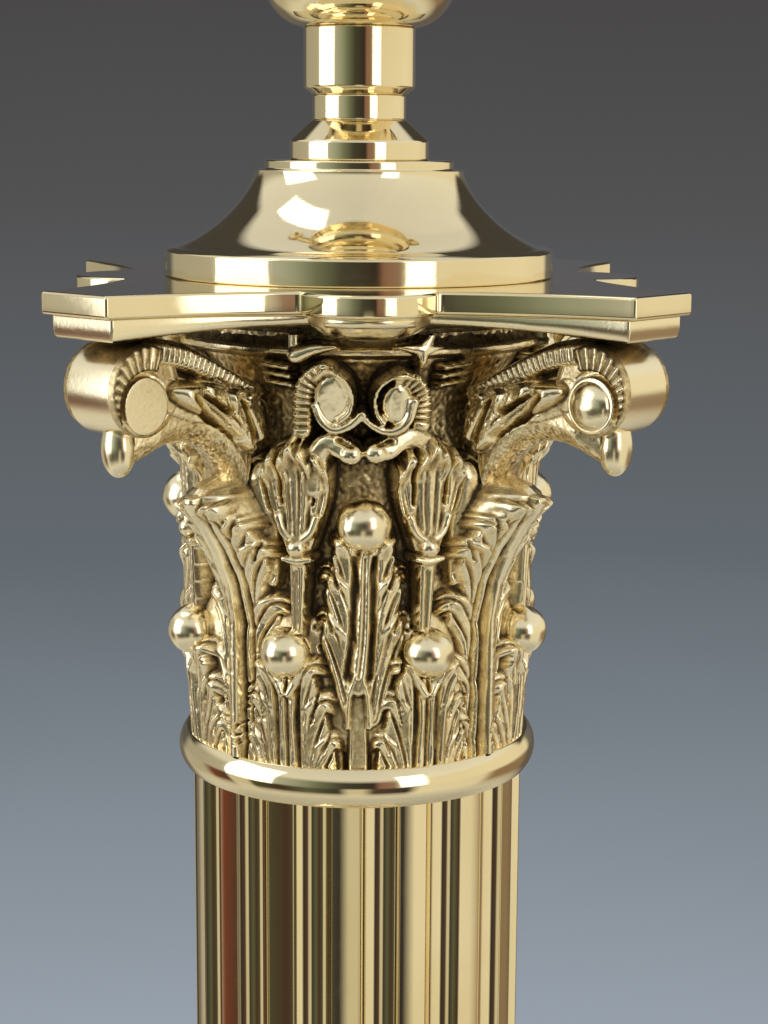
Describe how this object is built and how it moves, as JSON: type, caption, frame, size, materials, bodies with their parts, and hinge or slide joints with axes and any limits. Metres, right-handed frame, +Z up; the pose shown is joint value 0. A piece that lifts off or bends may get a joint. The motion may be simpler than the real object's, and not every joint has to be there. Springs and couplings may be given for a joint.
{
  "type": "column table lamp",
  "caption": "Brass table lamp: fluted column with a Corinthian leaf capital, stepped square base, domed plate and a switched bayonet lampholder.",
  "frame": {"origin": "on the table under the middle of the base", "axes": "+Z up along the column, -Y to the front"},
  "size_m": [0.15, 0.152, 0.488],
  "materials": {
    "polished_brass": "mirror polished, lacquered",
    "cast_brass": "cast, polished on its high points, dark in its recesses",
    "contact_brass": "turned, dull",
    "tinned_brass": "tinned",
    "zinc_steel": "zinc plated",
    "spring_steel": "drawn wire",
    "painted_steel": "black paint",
    "cast_iron": "rough",
    "felt": "green baize",
    "black_plastic": "moulded",
    "insulator": "glazed"
  },
  "bodies": {
    "lamp": {"felt_pad": "felt", "cover_plate": "painted_steel", "cover_screws": "zinc_steel", "plinth_lower_tier": "polished_brass", "plinth_upper_tier": "polished_brass", "base_block": "polished_brass", "ballast_weight": "cast_iron", "earth_tag": "tinned_brass", "earth_screw": "zinc_steel", "inlet_bush": "black_plastic", "inlet_nut": "black_plastic", "tie_tube": "zinc_steel", "tie_washer": "zinc_steel", "tie_nut": "zinc_steel", "column_base": "polished_brass", "column_shaft": "polished_brass", "astragal_ring": "polished_brass", "capital": "cast_brass", "abacus_plate": "polished_brass", "dome_cap": "polished_brass", "neck_flange": "polished_brass", "neck_ring": "polished_brass", "collar": "polished_brass", "holder_cap": "polished_brass", "holder_core": "insulator", "holder_skirt": "polished_brass", "lamp_barrel": "polished_brass", "plunger_spring_left": "spring_steel", "plunger_spring_right": "spring_steel", "terminal_posts": "contact_brass", "terminal_screws": "zinc_steel"},
    "plunger_left": {"contact_plunger_left": "contact_brass"},
    "plunger_right": {"contact_plunger_right": "contact_brass"},
    "switch_bar": {"switch_bar": "polished_brass"},
    "shade_ring": {"shade_ring": "polished_brass"}
  },
  "joints": [
    {"name": "plunger_left_press", "type": "slide", "parent": "lamp", "child": "plunger_left", "axis": [0, 0, -1], "range_m": [0, 0.0035], "stiffness_N_per_m": 2500, "springref_m": -0.0006, "deforming": ["plunger_spring_left"]},
    {"name": "plunger_right_press", "type": "slide", "parent": "lamp", "child": "plunger_right", "axis": [0, 0, -1], "range_m": [0, 0.0035], "stiffness_N_per_m": 2500, "springref_m": -0.0006, "deforming": ["plunger_spring_right"]},
    {"name": "switch_bar_push", "type": "slide", "parent": "lamp", "child": "switch_bar", "axis": [1, 0, 0], "range_m": [0, 0.005]},
    {"name": "shade_ring_climb", "type": "slide", "parent": "lamp", "child": "shade_ring", "axis": [0, 0, 1], "range_m": [0, 0.014]}
  ]
}
